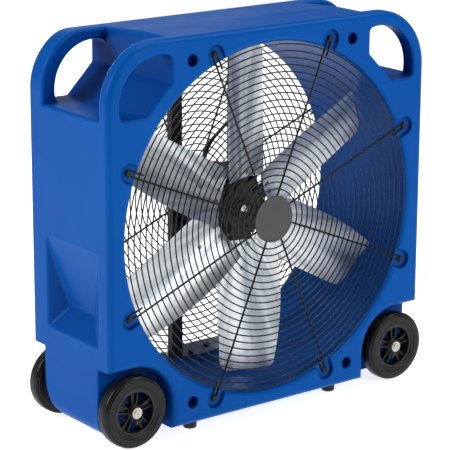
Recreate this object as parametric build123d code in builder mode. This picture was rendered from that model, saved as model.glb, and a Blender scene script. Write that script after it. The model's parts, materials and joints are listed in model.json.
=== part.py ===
from build123d import *
import os
from math import asin, cos, degrees, pi, radians, sin, sqrt, tan

# Portable axial air mover. A hollow moulded housing has a drum bored through it, with a wire
# guard on each face. Two struts inside the drum carry the motor, whose shaft turns a hub with six
# blades. The housing stands on four rubber feet and tips back onto four wheels on two axles.
#
# Frame, in millimetres: the origin is on the floor under the middle of the housing. +X is to the
# right seen from the front, +Y is to the rear and +Z is up. Air leaves through the front.
# Profiles across the machine are drawn from the fan's axis, on the planes that across(y) gives.

os.makedirs("parts", exist_ok=True)

# ---------------------------------------------------------------- driving dimensions
AXIS_Z = 366              # height of the fan's axis
HALF_WIDTH = 355          # housing, middle to side face
DEPTH = 246               # housing, front face to rear face
FRONT, REAR = -DEPTH / 2, DEPTH / 2
TOP, BOTTOM = 349, -348   # housing above and below the axis
WALL = 5                  # moulded wall
CORNER_R = 108            # outer top corners, concentric with the handle holes
BASE_R = 32               # outer bottom corners
EDGE_R = 11               # rounding round the front and rear faces
SOFT_EDGE_R = 6           # handle loops and corner gap walls
SLOPE_BLEND_R = 60        # where the sloping top meets the corner rounds
FAR = 430                 # past the housing on every side

CREASE_Y = -28            # the top falls away behind this line
REAR_DROP = 9.5           # how far it has fallen at the rear face

GAP_X = 222               # corner gaps: inner wall
GAP_FLOOR = 220           # corner gaps: shelf, above the axis
GAP_SLOPE = 54            # the 45 degree wall between them, along X and Z
GAP_FRONT, GAP_REAR = FRONT + 29, FRONT + 200
HANDLE_X, HANDLE_Z = HALF_WIDTH - CORNER_R, TOP - CORNER_R
HANDLE_HOLE_R = 82
HANDLE_BLEND = 9

DRUM_R = 318              # at the front lip
DRUM_DRAFT = 9            # smaller by this at the rear lip
LIP_R = 12

POCKET_R, POCKET_DEPTH, POCKET_EDGE_R = 17, 7, 3
POCKET_REACH = 36         # from the screw in towards the drum
EYELET_CIRCLE_R = 337     # guard screws
GUARD_SPOKES = 8
GUARD_ANGLE = 360 / GUARD_SPOKES / 2
SOCKET_X, SOCKET_Z, SOCKET_R = 178.7, 306.8, 10.5
SOCKET_DEPTH, SOCKET_EDGE_R, SOCKET_FLOOR_R = 16, 3, 4
SOCKETS = [(x, z) for x in (-SOCKET_X, SOCKET_X) for z in (-SOCKET_Z, SOCKET_Z)]

SCOOP_TOP, SCOOP_DEEP, SCOOP_FOOT = -11, -140, -181
SCOOP_DEPTH = 32
SCOOP_FRONT, SCOOP_REAR = FRONT + 33, FRONT + 195
SCOOP_RAMP_FRONT, SCOOP_RAMP_REAR = 60, 26
SCOOP_EDGE_R, SCOOP_VALLEY_R = 8, 12

# wheels
WHEEL_R, TYRE_WIDTH = 65.5, 28
TYRE_INNER_R = 45.5
AXLE_X, AXLE_DROP = 301, -299.5
AXLE_R = 6.35
RUNNING_GAP = 0.05
WELL_R, WELL_DEPTH = 80, 40
SKID_R = 72               # round rear of the base, for tipping it back
ARCH_EDGE_R = 3
WHEEL_Y = FRONT + 13      # front tyre's middle
HUB_LENGTH, HUB_R = 24, 15
HUB_OUTER_Y, HUB_INNER_Y = WHEEL_Y - HUB_LENGTH / 2, WHEEL_Y + HUB_LENGTH / 2
RIM_BAND_R = 37
RIM_WIDTH = 20
RIM_SPOKES = 5
SPOKE_WEB_WIDTH, SPOKE_WEB_DEPTH = 15, 4
SPOKE_RIB_WIDTH, SPOKE_RIB_DEPTH = 2.4, 15
SHOULDER_R = 5
GROOVE_RADII = (48, 60)
GROOVE_WIDTH, GROOVE_DEPTH = 1.4, 0.9
AXLE_END = 1              # the axle stands this far out of each face
END_PLAY = 0.3            # between each wheel and its washers
WASHER_R, SPACER_R = 9.5, 10
CAP_R, CAP_FLANGE = 10, 1.2
CAP_CROWN_R, CAP_THICK, CAP_EDGE_R = 6, 2.6, 0.8
DIMPLE_R, DIMPLE_DEPTH = 2, 1

# guards
RING_WIRE_R, SPOKE_WIRE_R = 1.25, 1.8
RING_PITCH = 12.37
BADGE_R, BADGE_THICK = 42.5, 1.5
SEAT_RING_R = 34
FRONT_RINGS, REAR_RINGS = 22, 21
SPOKE_START = 24
EYE_R = 4.5               # middle of the eyelet's wire
RETURN_LEG = 32
SPOKE_Y = FRONT + POCKET_DEPTH - SPOKE_WIRE_R
RING_Y = SPOKE_Y - SPOKE_WIRE_R - RING_WIRE_R - 0.02
SCREW_R, SCREW_HEAD_R, SCREW_HEAD = 2.5, 5.4, 2.6
SCREW_END = FRONT + POCKET_DEPTH + WALL + 4
CROSS_WIDTH = 1.1         # the screws' cross recess

# impeller
BLADES = 6
FIRST_BLADE = 30          # degrees round from +X
TIP_R, ROOT_R = 308, 58
BLADE_THICK = 1.6
BEND_R = 140              # the blade's hollow, curved about its own length
BLADE_Y = FRONT + 92      # back of the blades, at their rivets
ROOT_PITCH, TIP_PITCH = 17, 16
FLAT_ROOT_R = 128         # the pitch starts to change here
TWIST_RADII = (190, 250)  # sections between there and the tip
LEADING_ROOT, LEADING_MIDDLE, LEADING_TIP = 53, 60.5, 50    # reach ahead of the rivet line
TRAILING_ROOT, TRAILING_TIP = 53, 47                        # reach behind it
MIDDLE_R = 175
LEADING_BLEND, TRAILING_BLEND, ROOT_BLEND = 14, 26, 10
BLANK_HALF_WIDTH = 90     # sheet the blade's outline is cut from
ARM_WIDTH, ARM_THICK = 36, 3
ARM_START_R, ARM_END_R = 36, 124
HUB_PLATE_R, HUB_PLATE_THICK, HUB_CORNER_R = 56, 4, 6
HUB_RINGS = (24, 37, 48)  # embossed on the plate
HUB_RING_WIDTH, HUB_RING_HEIGHT = 3, 1.2
BOSS_NOSE = 3             # the boss in front of the plate
SHAFT_NOSE = 6            # the shaft in front of the plate
SLOT_WIDTH, SLOT_DEPTH = 2.4, 2.5
BOSS_R, BOSS_LENGTH = 16, 18
SHAFT_R = 7.94
SET_SCREW_R, SET_SCREW_SINK = 3, 1
SET_SCREW_KEY_R, SET_SCREW_KEY_DEPTH = 1.6, 3
RIVET_R, RIVET_HEAD_R, RIVET_HEAD = 2.2, 4.2, 1.5
RIVET_PLACES = [(67, -11), (67, 11), (112, 0)]
SEAT_GAP = 0.04           # between a riveted blade, its arm and the rivet heads
HUB_Y = BLADE_Y + ARM_THICK / 2 * cos(radians(ROOT_PITCH))

# motor and its carrier
MOTOR_FRONT, MOTOR_REAR = -5, 71
MOTOR_R, CAN_THICK = 70, 3
BELL_DEPTH = 13
BEARING_R, BEARING_WIDTH = 17.5, 11
ROTOR_R, AIR_GAP, CORE_LENGTH = 41, 0.6, 40
STATOR_SLOTS, SLOT_REACH, SLOT_OPENING = 24, 14, 5
BELL_SKIN, BELL_EDGE_R, BEARING_SEAT = 4, 7, 4
VENTS, VENT_CIRCLE_R, VENT_LENGTH, VENT_WIDTH = 12, 42, 22, 6
PLATE_THICK = 3
PLATE_HALF_WIDTH, PLATE_HALF_HEIGHT, PLATE_CORNER_R = 81, 62, 10
PLATE_HOLE_R = 20         # round the rear of the shaft
STRUT_X, STRUT_WIDTH, STRUT_DEPTH, STRUT_SHEET = 69, 24, 14, 2.5
STRUT_Y = MOTOR_REAR + PLATE_THICK
CROSS_Y = STRUT_Y + STRUT_DEPTH
CROSS_SHEET, CROSS_FOOT = 2.5, 22
CROSS_TOP = -282          # top edge of the lower cross plate
BOLT_R, BOLT_HEAD_R, BOLT_HEAD = 3, 5.6, 4
BOLT_END = 3              # thread past the sheet
MOTOR_STUD = 34           # studs through the plate into the rear bell, along X and Z
STRUT_BOLT_Z = 50         # plate to struts
CROSS_BOLT_Z = 291        # struts to cross plates
CROSS_SCREWS = [(-29, -300), (8, -293)]

# motor lead and the speed switch
CABLE_R, CABLE_GAP = 3.2, 0.3
LEAD_X, LEAD_Y, LEAD_Z = -26, 50, 63.3      # where the lead leaves the motor can
WALL_RUN = [(70, 66, 267), (79, 66, 326)]   # the lead's straight run through the drum wall
GROMMET_R, GROMMET_FLANGE = 6.2, 7.8
GROMMET_LIP, GROMMET_LENGTH = 3, 10
GROMMET_SEAT = 32.5       # flange face, along that run
WALL_HOLE_REACH = 52
SWITCH_Y, SWITCH_Z = 40, 80
SWITCH_SIZE, SWITCH_CORNER_R = 56, 4
SWITCH_DEPTH = 28
SWITCH_PLATE, SWITCH_PLATE_R, PLATE_SHEET = (60, 80), 6, 1.5
PLATE_SCREW_R, PLATE_SCREW_HEAD_R, PLATE_SCREW_HEAD = 1.8, 3.4, 1.4
PLATE_SCREWS = [(y, z) for y in (-24, 24) for z in (-34, 34)]
KNOB_R, KNOB_HEIGHT = 16, 9
KNOB_DISC, KNOB_BAR, KNOB_EDGE = 3.6, 9, 1.2
KNOB_GAP = 0.4            # between the knob and the switch plate
STEM_R, STEM_LENGTH = 3, 20
GLAND_Z, GLAND_R, GLAND_NUT_R, GLAND_BORE_R = 8, 8, 11, 4.2
GLAND_NUT, GLAND_DOME, GLAND_DOME_EDGE_R, GLAND_TAIL = 6, 4.5, 2, 13

# feet
FOOT_X, FOOT_Y = 162, 90
FOOT_R = 12.5
FOOT_HEIGHT = AXIS_Z + BOTTOM
FOOT_SCREW_R, FOOT_SCREW_HEAD_R, FOOT_RECESS = 2.5, 5, 8
FOOT_SCREW_HEAD, FOOT_SCREW_END, FOOT_EDGE = 3, 5, 1.5

FAN_AXIS = Axis((0, 0, AXIS_Z), (0, 1, 0))


# ---------------------------------------------------------------- shared helpers
def across(y):
    """Plane across the machine at depth y, drawn from the fan's axis: X right, Y up."""
    return Plane(origin=(0, y, AXIS_Z), x_dir=(1, 0, 0), z_dir=(0, -1, 0))


def on_side(x):
    """Plane parallel to the right side face at x, drawn from the switch: X to the rear, Y up."""
    return Plane(origin=(x, SWITCH_Y, AXIS_Z + SWITCH_Z), x_dir=(0, 1, 0), z_dir=(1, 0, 0))


def lead_plane(distance):
    """Plane square to the motor lead's run through the drum wall, this far along the run."""
    start, end = (Vector(x, y, z + AXIS_Z) for x, y, z in WALL_RUN)
    along = (end - start).normalized()
    return Plane(origin=start + along * distance, z_dir=along)


def drum_radius(y):
    """Inside radius of the drum between its two lips."""
    run = DEPTH - 2 * LIP_R
    return DRUM_R - DRUM_DRAFT * (y - FRONT - LIP_R) / run


def save(part, node):
    part.label = node
    export_step(part, f"parts/{node}.step")


def disc(radius, y_front, y_rear, x=0, z=0):
    """Round bar along Y, placed from the fan's axis."""
    with BuildPart() as bar:
        with BuildSketch(across(y_rear)):
            with Locations((x, z)):
                Circle(radius)
        extrude(amount=y_rear - y_front)
    return bar.part


def ring(outer, inner, y_front, y_rear, x=0, z=0):
    """Plain ring about Y, placed from the fan's axis."""
    with BuildPart() as band:
        with BuildSketch(across(y_rear)):
            with Locations((x, z)):
                Circle(outer)
                Circle(inner, mode=Mode.SUBTRACT)
        extrude(amount=y_rear - y_front)
    return band.part


def gather(parts):
    """Several separate solids as one node."""
    return Compound(children=list(parts))


# ---------------------------------------------------------------- housing
def corner_gap(grow):
    """Right-hand top corner, outside an upright wall, a 45 degree wall and a shelf."""
    with BuildSketch() as gap:
        with BuildLine():
            Polyline(
                (GAP_X, GAP_FLOOR + GAP_SLOPE), (GAP_X, FAR), (FAR, FAR), (FAR, GAP_FLOOR),
                (GAP_X + GAP_SLOPE, GAP_FLOOR), close=True,
            )
        make_face()
        if grow:
            offset(amount=grow, kind=Kind.INTERSECTION)
        inner = vertices().sort_by_distance((GAP_X, GAP_FLOOR))[:2]
        fillet(inner, radius=HANDLE_BLEND - grow)
    return gap.sketch


def handle_hole(grow):
    """D-shaped hand hole inside a corner's round."""
    with BuildSketch() as hole:
        add(corner_gap(grow))
        with Locations((HANDLE_X, HANDLE_Z)):
            Circle(HANDLE_HOLE_R + grow, mode=Mode.INTERSECT)
        ends = vertices().sort_by_distance((HANDLE_X, HANDLE_Z))[-2:]
        fillet(ends, radius=HANDLE_BLEND)
    return hole.sketch


def wheel_well(grow):
    """Right-hand wheel arch, open below and to the side."""
    with BuildSketch() as well:
        crown = (AXLE_X, AXLE_DROP + WELL_R)
        side = (AXLE_X - WELL_R, AXLE_DROP)
        shoulder = (AXLE_X - WELL_R * cos(radians(45)), AXLE_DROP + WELL_R * sin(radians(45)))
        with BuildLine():
            Polyline(crown, (FAR, crown[1]), (FAR, -FAR), (side[0], -FAR), side)
            ThreePointArc(side, shoulder, crown)
        make_face()
        if grow:
            offset(amount=grow, kind=Kind.INTERSECTION)
    return well.sketch


def side_scoop(grow):
    """Lifting scoop in the right side face: a wedge that is deepest near its foot."""
    floor_x = HALF_WIDTH - SCOOP_DEPTH
    with BuildPart() as scoop:
        with BuildSketch(across(0)):
            with BuildLine():
                Polyline(
                    (FAR, SCOOP_TOP), (HALF_WIDTH, SCOOP_TOP), (floor_x, SCOOP_DEEP),
                    (HALF_WIDTH, SCOOP_FOOT), (FAR, SCOOP_FOOT), close=True,
                )
            make_face()
            if grow:
                offset(amount=grow, kind=Kind.INTERSECTION)
        extrude(amount=DEPTH / 2, both=True)
        with BuildSketch(Plane.XY.offset(AXIS_Z - FAR)):
            with BuildLine():
                Polyline(
                    (FAR, SCOOP_FRONT), (HALF_WIDTH, SCOOP_FRONT),
                    (floor_x, SCOOP_FRONT + SCOOP_RAMP_FRONT), (floor_x, SCOOP_REAR - SCOOP_RAMP_REAR),
                    (HALF_WIDTH, SCOOP_REAR), (FAR, SCOOP_REAR), close=True,
                )
            make_face()
            if grow:
                offset(amount=grow, kind=Kind.INTERSECTION)
        extrude(amount=2 * FAR, mode=Mode.INTERSECT)
    return scoop.part


def skid_end(grow):
    """What is cut from the base's rear to leave it round between the wells, on the right."""
    centre_y = REAR - WELL_DEPTH - SKID_R
    centre_z = BOTTOM + SKID_R
    start_x = AXLE_X - WELL_R - grow
    with BuildPart() as end:
        with BuildSketch(Plane(origin=(start_x, 0, AXIS_Z), x_dir=(0, 1, 0), z_dir=(1, 0, 0))):
            with Locations((centre_y, centre_z)):
                Rectangle(FAR, FAR, align=(Align.MIN, Align.MAX))
                Circle(SKID_R - grow, mode=Mode.SUBTRACT)
        extrude(amount=FAR)
    return end.part


def top_slope(grow):
    """Wedge over the top, from the crease to the rear face."""
    fall = REAR_DROP / (REAR - CREASE_Y)
    low = TOP - grow
    with BuildPart() as slope:
        with BuildSketch(Plane(origin=(-FAR, 0, AXIS_Z), x_dir=(0, 1, 0), z_dir=(1, 0, 0))):
            with BuildLine():
                Polyline(
                    (CREASE_Y, low), (REAR + WALL, low - fall * (REAR + WALL - CREASE_Y)),
                    (REAR + WALL, FAR), (CREASE_Y, FAR), close=True,
                )
            make_face()
        extrude(amount=2 * FAR)
    return slope.part


def drum_bore():
    """Inside of the drum, with its bell lips and draft."""
    rear_r = DRUM_R - DRUM_DRAFT
    bend = LIP_R * (1 - cos(radians(45)))
    with BuildPart() as bore:
        with BuildSketch(Plane.XY.offset(AXIS_Z)):
            with BuildLine():
                Polyline(
                    (DRUM_R + LIP_R, FRONT), (DRUM_R + LIP_R, FRONT - WALL), (0, FRONT - WALL),
                    (0, REAR + WALL), (rear_r + LIP_R, REAR + WALL), (rear_r + LIP_R, REAR),
                )
                ThreePointArc((rear_r + LIP_R, REAR), (rear_r + bend, REAR - bend), (rear_r, REAR - LIP_R))
                Line((rear_r, REAR - LIP_R), (DRUM_R, FRONT + LIP_R))
                front_bend = (DRUM_R + bend, FRONT + bend)
                ThreePointArc((DRUM_R, FRONT + LIP_R), front_bend, (DRUM_R + LIP_R, FRONT))
            make_face()
        revolve(axis=FAN_AXIS)
    return bore.part


def pockets(radius, y_front, y_rear):
    """The eyelet pockets of one face: round at the screw and open towards the axis."""
    with BuildPart() as cuts:
        with BuildSketch(across(y_rear)):
            with PolarLocations(EYELET_CIRCLE_R, GUARD_SPOKES, start_angle=GUARD_ANGLE):
                Circle(radius)
                Rectangle(POCKET_REACH, 2 * radius, align=(Align.MAX, Align.CENTER))
        extrude(amount=y_rear - y_front)
    return cuts.part


def moulding(inset):
    """The moulded form with every wall drawn in by `inset`, before its drum is bored."""
    scoop = side_scoop(inset)
    with BuildPart() as form:
        with BuildSketch(across(0)):
            with Locations((0, (TOP + BOTTOM) / 2)):
                Rectangle(2 * (HALF_WIDTH - inset), TOP - BOTTOM - 2 * inset)
            fillet(vertices().group_by(Axis.Y)[-1], radius=CORNER_R - inset)
            fillet(vertices().group_by(Axis.Y)[0], radius=BASE_R - inset)
        extrude(amount=DEPTH / 2 - inset, both=True)
        with BuildSketch(across(GAP_REAR + inset)):
            add(corner_gap(inset))
            mirror(about=Plane.YZ)
        extrude(amount=GAP_REAR - GAP_FRONT + 2 * inset, mode=Mode.SUBTRACT)
        with BuildSketch(across(0)):
            add(handle_hole(inset))
            mirror(about=Plane.YZ)
        extrude(amount=DEPTH, both=True, mode=Mode.SUBTRACT)
        for well_end in (FRONT + WELL_DEPTH + inset, REAR + WALL):
            with BuildSketch(across(well_end)):
                add(wheel_well(inset))
                mirror(about=Plane.YZ)
            extrude(amount=WELL_DEPTH + WALL + inset, mode=Mode.SUBTRACT)
        for cut in (skid_end(inset), scoop):
            add(cut, mode=Mode.SUBTRACT)
            add(cut.mirror(Plane.YZ), mode=Mode.SUBTRACT)
        add(top_slope(inset), mode=Mode.SUBTRACT)
    return form.part


def pocket_edges(part, y):
    """Edges of the eyelet pockets in the face at depth y."""
    found = []
    for edge in edges_at(part, y):
        middle = edge.center()
        offset = sqrt(middle.X ** 2 + (middle.Z - AXIS_Z) ** 2) - EYELET_CIRCLE_R
        pocket_round = edge.geom_type == GeomType.CIRCLE and abs(edge.radius - POCKET_R) < 0.01
        if pocket_round or (edge.geom_type == GeomType.LINE and abs(offset) < POCKET_R + 8):
            found.append(edge)
    return found


def edges_at(part, y):
    """Edges that lie wholly in the plane at depth y."""
    flat = []
    for edge in part.edges():
        box = edge.bounding_box()
        if max(abs(box.min.Y - y), abs(box.max.Y - y)) < 0.05:
            flat.append(edge)
    return flat


def inner_edges(part, y):
    """Edges of the openings in the big flat face at depth y."""
    faces = [f for f in part.faces().filter_by(GeomType.PLANE) if abs(f.center().Y - y) < 0.05]
    face = max(faces, key=lambda f: f.area)
    return [edge for wire in face.inner_wires() for edge in wire.edges()]


def side_face_edges(part, low_z, high_z):
    """Edges of the two side faces between two heights from the axis."""
    found = []
    for edge in part.edges():
        box = edge.bounding_box()
        on_face = max(abs(abs(box.min.X) - HALF_WIDTH), abs(abs(box.max.X) - HALF_WIDTH)) < 0.05
        if on_face and low_z - 1 < box.min.Z - AXIS_Z and box.max.Z - AXIS_Z < high_z + 1:
            found.append(edge)
    return found


def scoop_valleys(part):
    """Edges inside the two scoops, where their slopes meet."""
    found = []
    for edge in part.edges():
        box = edge.bounding_box()
        in_scoop = SCOOP_FOOT - 1 < box.min.Z - AXIS_Z and box.max.Z - AXIS_Z < SCOOP_TOP + 1
        if in_scoop and HALF_WIDTH - SCOOP_DEPTH - 1 < abs(edge.center().X) < HALF_WIDTH - 2:
            found.append(edge)
    return found


def arch_edges(part, y):
    """Edges round the back wall of the wheel arches at depth y: their crown and ceiling."""
    crown_z = AXLE_DROP + WELL_R
    return [edge for edge in edges_at(part, y)
            if edge.geom_type == GeomType.CIRCLE or abs(edge.center().Z - AXIS_Z - crown_z) < 1]


def long_edges(part, x, z):
    """Straight edges along Y whose middle is at (x, z) from the axis, on both sides."""
    found = []
    for edge in part.edges().filter_by(Axis.Y):
        middle = edge.center()
        if abs(abs(middle.X) - x) < 1 and abs(middle.Z - AXIS_Z - z) < 6 and edge.length > 60:
            found.append(edge)
    return found


with BuildPart() as housing_shell:
    add(moulding(0))
    fillet(edges().filter_by(GeomType.ELLIPSE), radius=SLOPE_BLEND_R)
    fillet(faces().sort_by(Axis.Y)[0].outer_wire().edges(), radius=EDGE_R)
    fillet(faces().sort_by(Axis.Y)[-1].outer_wire().edges(), radius=EDGE_R)
    for face_y in (FRONT, REAR):
        fillet(inner_edges(housing_shell.part, face_y), radius=SOFT_EDGE_R)
    for face_y in (GAP_FRONT, GAP_REAR):
        rounds = [e for e in edges_at(housing_shell.part, face_y)
                  if e.geom_type == GeomType.CIRCLE and abs(e.radius - CORNER_R) < 1]
        fillet(rounds, radius=SOFT_EDGE_R)
    for x, z in ((GAP_X, TOP - 3), (HALF_WIDTH, GAP_FLOOR)):
        fillet(long_edges(housing_shell.part, x, z), radius=SOFT_EDGE_R)
    fillet(scoop_valleys(housing_shell.part), radius=SCOOP_VALLEY_R)
    fillet(side_face_edges(housing_shell.part, SCOOP_FOOT, SCOOP_TOP), radius=SCOOP_EDGE_R)
    for well_y in (FRONT + WELL_DEPTH, REAR - WELL_DEPTH):
        fillet(arch_edges(housing_shell.part, well_y), radius=ARCH_EDGE_R)
    add(drum_bore(), mode=Mode.SUBTRACT)
    # hollow: the same form one wall further in, kept clear of the drum, pockets and axles
    drum_clear = disc(DRUM_R + WALL, FRONT, REAR)
    cavity = moulding(WALL) - drum_clear
    for front_y, rear_y in ((FRONT, FRONT + POCKET_DEPTH + WALL), (REAR - POCKET_DEPTH - WALL, REAR)):
        cavity -= pockets(POCKET_R + WALL, front_y, rear_y)
    for x, z in SOCKETS:
        cavity -= disc(SOCKET_R + WALL, FRONT, FRONT + SOCKET_DEPTH + WALL, x, z)
    add(cavity, mode=Mode.SUBTRACT)
    # eyelet pockets, open into the drum, with a screw hole in each floor
    add(pockets(POCKET_R, FRONT - 1, FRONT + POCKET_DEPTH), mode=Mode.SUBTRACT)
    add(pockets(POCKET_R, REAR - POCKET_DEPTH, REAR + 1), mode=Mode.SUBTRACT)
    for face_y in (FRONT, REAR):
        fillet(pocket_edges(housing_shell.part, face_y), radius=POCKET_EDGE_R)
    for rear_y in (FRONT + POCKET_DEPTH + WALL + 1, REAR - POCKET_DEPTH + 1):
        with BuildSketch(across(rear_y)):
            with PolarLocations(EYELET_CIRCLE_R, GUARD_SPOKES, start_angle=GUARD_ANGLE):
                Circle(SCREW_R)
        extrude(amount=WALL + 2, mode=Mode.SUBTRACT)
    # blind round sockets moulded into the front face
    for x, z in SOCKETS:
        add(disc(SOCKET_R, FRONT - 1, FRONT + SOCKET_DEPTH, x, z), mode=Mode.SUBTRACT)
    for depth, radius in ((0, SOCKET_EDGE_R), (SOCKET_DEPTH, SOCKET_FLOOR_R)):
        rounds = [e for e in edges_at(housing_shell.part, FRONT + depth)
                  if e.geom_type == GeomType.CIRCLE and abs(e.radius - SOCKET_R) < 0.01]
        fillet(rounds, radius=radius)
    # axle holes through the base between the wells
    with BuildSketch(across(0)):
        with Locations((-AXLE_X, AXLE_DROP), (AXLE_X, AXLE_DROP)):
            Circle(AXLE_R)
    extrude(amount=REAR - WELL_DEPTH + 1, both=True, mode=Mode.SUBTRACT)
    # foot screws, the motor lead's grommet, and the switch, its plate and the cord gland
    with BuildSketch(Plane.XY.offset(FOOT_HEIGHT - 1)):
        with GridLocations(2 * FOOT_X, 2 * FOOT_Y, 2, 2):
            Circle(FOOT_SCREW_R)
    extrude(amount=WALL + 2, mode=Mode.SUBTRACT)
    with BuildSketch(lead_plane(0)):
        Circle(GROMMET_R)
    extrude(amount=WALL_HOLE_REACH, mode=Mode.SUBTRACT)
    with BuildSketch(on_side(HALF_WIDTH - WALL - 1)):
        Circle(STEM_R + RUNNING_GAP)
        with Locations(PLATE_SCREWS):
            Circle(PLATE_SCREW_R)
        with Locations((0, GLAND_Z - SWITCH_Z)):
            Circle(GLAND_R)
    extrude(amount=WALL + 2, mode=Mode.SUBTRACT)
save(housing_shell.part, "housing_shell")


# ---------------------------------------------------------------- guards
def guard_wires(count):
    """Round rings of the front guard, from the hidden seat ring under the badge outwards."""
    radii = [SEAT_RING_R] + [BADGE_R + RING_PITCH * k for k in range(1, count + 1)]
    rings = []
    for radius in radii:
        with BuildPart(across(RING_Y)) as wire:
            Torus(radius, RING_WIRE_R)
        rings.append(wire.part)
    return rings


def guard_spoke():
    """One spoke along +X: a straight run, a hairpin eyelet round the screw and a short return."""
    with BuildPart() as spoke:
        with BuildLine(across(SPOKE_Y)) as path:
            Line((SPOKE_START, EYE_R), (EYELET_CIRCLE_R, EYE_R))
            ThreePointArc(
                (EYELET_CIRCLE_R, EYE_R), (EYELET_CIRCLE_R + EYE_R, 0), (EYELET_CIRCLE_R, -EYE_R)
            )
            Line((EYELET_CIRCLE_R, -EYE_R), (EYELET_CIRCLE_R - RETURN_LEG, -EYE_R))
        with BuildSketch(Plane(origin=path.line @ 0, z_dir=path.line % 0)):
            Circle(SPOKE_WIRE_R)
        sweep()
    return spoke.part


def guard_screw():
    """Pan-head screw through an eyelet at +X: head, shank and a cross recess."""
    seat_y = SPOKE_Y - SPOKE_WIRE_R
    with BuildPart() as screw:
        with BuildSketch(across(seat_y)):
            with Locations((EYELET_CIRCLE_R, 0)):
                Circle(SCREW_HEAD_R)
        extrude(amount=SCREW_HEAD)
        fillet(faces().sort_by(Axis.Y)[0].edges(), radius=SCREW_HEAD * 0.6)
        with BuildSketch(across(SCREW_END)):
            with Locations((EYELET_CIRCLE_R, 0)):
                Circle(SCREW_R)
        extrude(amount=SCREW_END - seat_y)
        with BuildSketch(across(seat_y - SCREW_HEAD / 3)):
            with Locations((EYELET_CIRCLE_R, 0)):
                Rectangle(CROSS_WIDTH, SCREW_HEAD_R)
                Rectangle(SCREW_HEAD_R, CROSS_WIDTH)
        extrude(amount=SCREW_HEAD, mode=Mode.SUBTRACT)
    return screw.part


def round_the_fan(part, count, first=0):
    """Copies of a part set evenly about the fan's axis."""
    return [part.rotate(FAN_AXIS, -(first + 360 * k / count)) for k in range(count)]


def to_rear(parts):
    return [part.mirror(Plane.XZ) for part in parts]


front_rings = guard_wires(FRONT_RINGS)
spokes = round_the_fan(guard_spoke(), GUARD_SPOKES, GUARD_ANGLE)
screws = round_the_fan(guard_screw(), GUARD_SPOKES, GUARD_ANGLE)
badge_back = RING_Y - RING_WIRE_R
badge = disc(BADGE_R, badge_back - BADGE_THICK, badge_back)
save(gather(front_rings), "front_guard_rings")
save(gather(to_rear(guard_wires(REAR_RINGS))), "rear_guard_rings")
save(gather(spokes), "front_guard_spokes")
save(gather(to_rear(spokes)), "rear_guard_spokes")
save(gather(screws), "front_guard_screws")
save(gather(to_rear(screws)), "rear_guard_screws")
save(badge, "front_badge")
save(badge.mirror(Plane.XZ), "rear_guard_disc")


# ---------------------------------------------------------------- impeller
def pitch_at(radius):
    """Blade pitch: constant at the root, easing evenly towards the tip."""
    run = max(0, radius - FLAT_ROOT_R) / (TIP_R - FLAT_ROOT_R)
    return radians(ROOT_PITCH + (TIP_PITCH - ROOT_PITCH) * run)


def section_plane(radius):
    """Plane of a blade's section at a radius along +X: local X is the chord, Y the pressure side."""
    pitch = pitch_at(radius)
    return Plane(
        origin=(radius, BLADE_Y, AXIS_Z), x_dir=(0, -sin(pitch), cos(pitch)), z_dir=(1, 0, 0)
    )


def bend_height(x):
    """Height of the blade's back at x along the chord, over its rivet line."""
    return BEND_R - sqrt(BEND_R ** 2 - x ** 2)


def strip_section(half_width, low, high):
    """Curved strip between two heights over the blade's back."""
    half_angle = degrees(asin(half_width / BEND_R))
    with BuildSketch() as strip:
        with BuildLine():
            back, front = (
                CenterArc((0, BEND_R), BEND_R - height, -90 - half_angle, 2 * half_angle)
                for height in (low, high)
            )
            Line(back @ 0, front @ 0)
            Line(back @ 1, front @ 1)
        make_face()
    return strip.sketch


def blade_outline():
    """Outline of a blade along +X, seen along the fan's axis."""
    past_tip = TIP_R + 4
    with BuildSketch() as outline:
        with BuildLine():
            ThreePointArc(
                (ROOT_R, LEADING_ROOT), (MIDDLE_R, LEADING_MIDDLE), (past_tip, LEADING_TIP)
            )
            Polyline(
                (past_tip, LEADING_TIP), (past_tip, -TRAILING_TIP), (ROOT_R, -TRAILING_ROOT),
                (ROOT_R, LEADING_ROOT),
            )
        make_face()
        Circle(TIP_R, mode=Mode.INTERSECT)
        for corner, radius in (
            ((TIP_R, LEADING_TIP), LEADING_BLEND), ((TIP_R, -TRAILING_TIP), TRAILING_BLEND),
            ((ROOT_R, LEADING_ROOT), ROOT_BLEND), ((ROOT_R, -TRAILING_ROOT), ROOT_BLEND),
        ):
            fillet(vertices().sort_by_distance(corner)[0], radius=radius)
    return outline.sketch


def blade_part():
    """One blade along +X: a hollow, gently twisted sheet with rounded corners."""
    stations = [ROOT_R - 2, FLAT_ROOT_R, *TWIST_RADII, TIP_R + 6]
    with BuildPart() as blade:
        for radius in stations:
            with BuildSketch(section_plane(radius)):
                add(strip_section(BLANK_HALF_WIDTH, 0, BLADE_THICK))
        loft(ruled=True)
        with BuildSketch(across(REAR)):
            add(blade_outline())
        extrude(amount=DEPTH, mode=Mode.INTERSECT)
        for place in rivet_planes(0):
            with BuildSketch(place):
                Circle(RIVET_R)
            extrude(amount=RIVET_HEAD + BLADE_THICK, both=True, mode=Mode.SUBTRACT)
    return blade.part


def rivet_planes(height):
    """Planes of the rivets along +X, facing the pressure side, this high above the blade's back."""
    planes = []
    for radius, x in RIVET_PLACES:
        section = section_plane(radius)
        lean = asin(x / BEND_R)
        centre = section.from_local_coords((x, bend_height(x), 0))
        normal = section.y_dir * cos(lean) - section.x_dir * sin(lean)
        planes.append(Plane(origin=centre, x_dir=section.z_dir, z_dir=normal).offset(height))
    return planes


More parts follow.
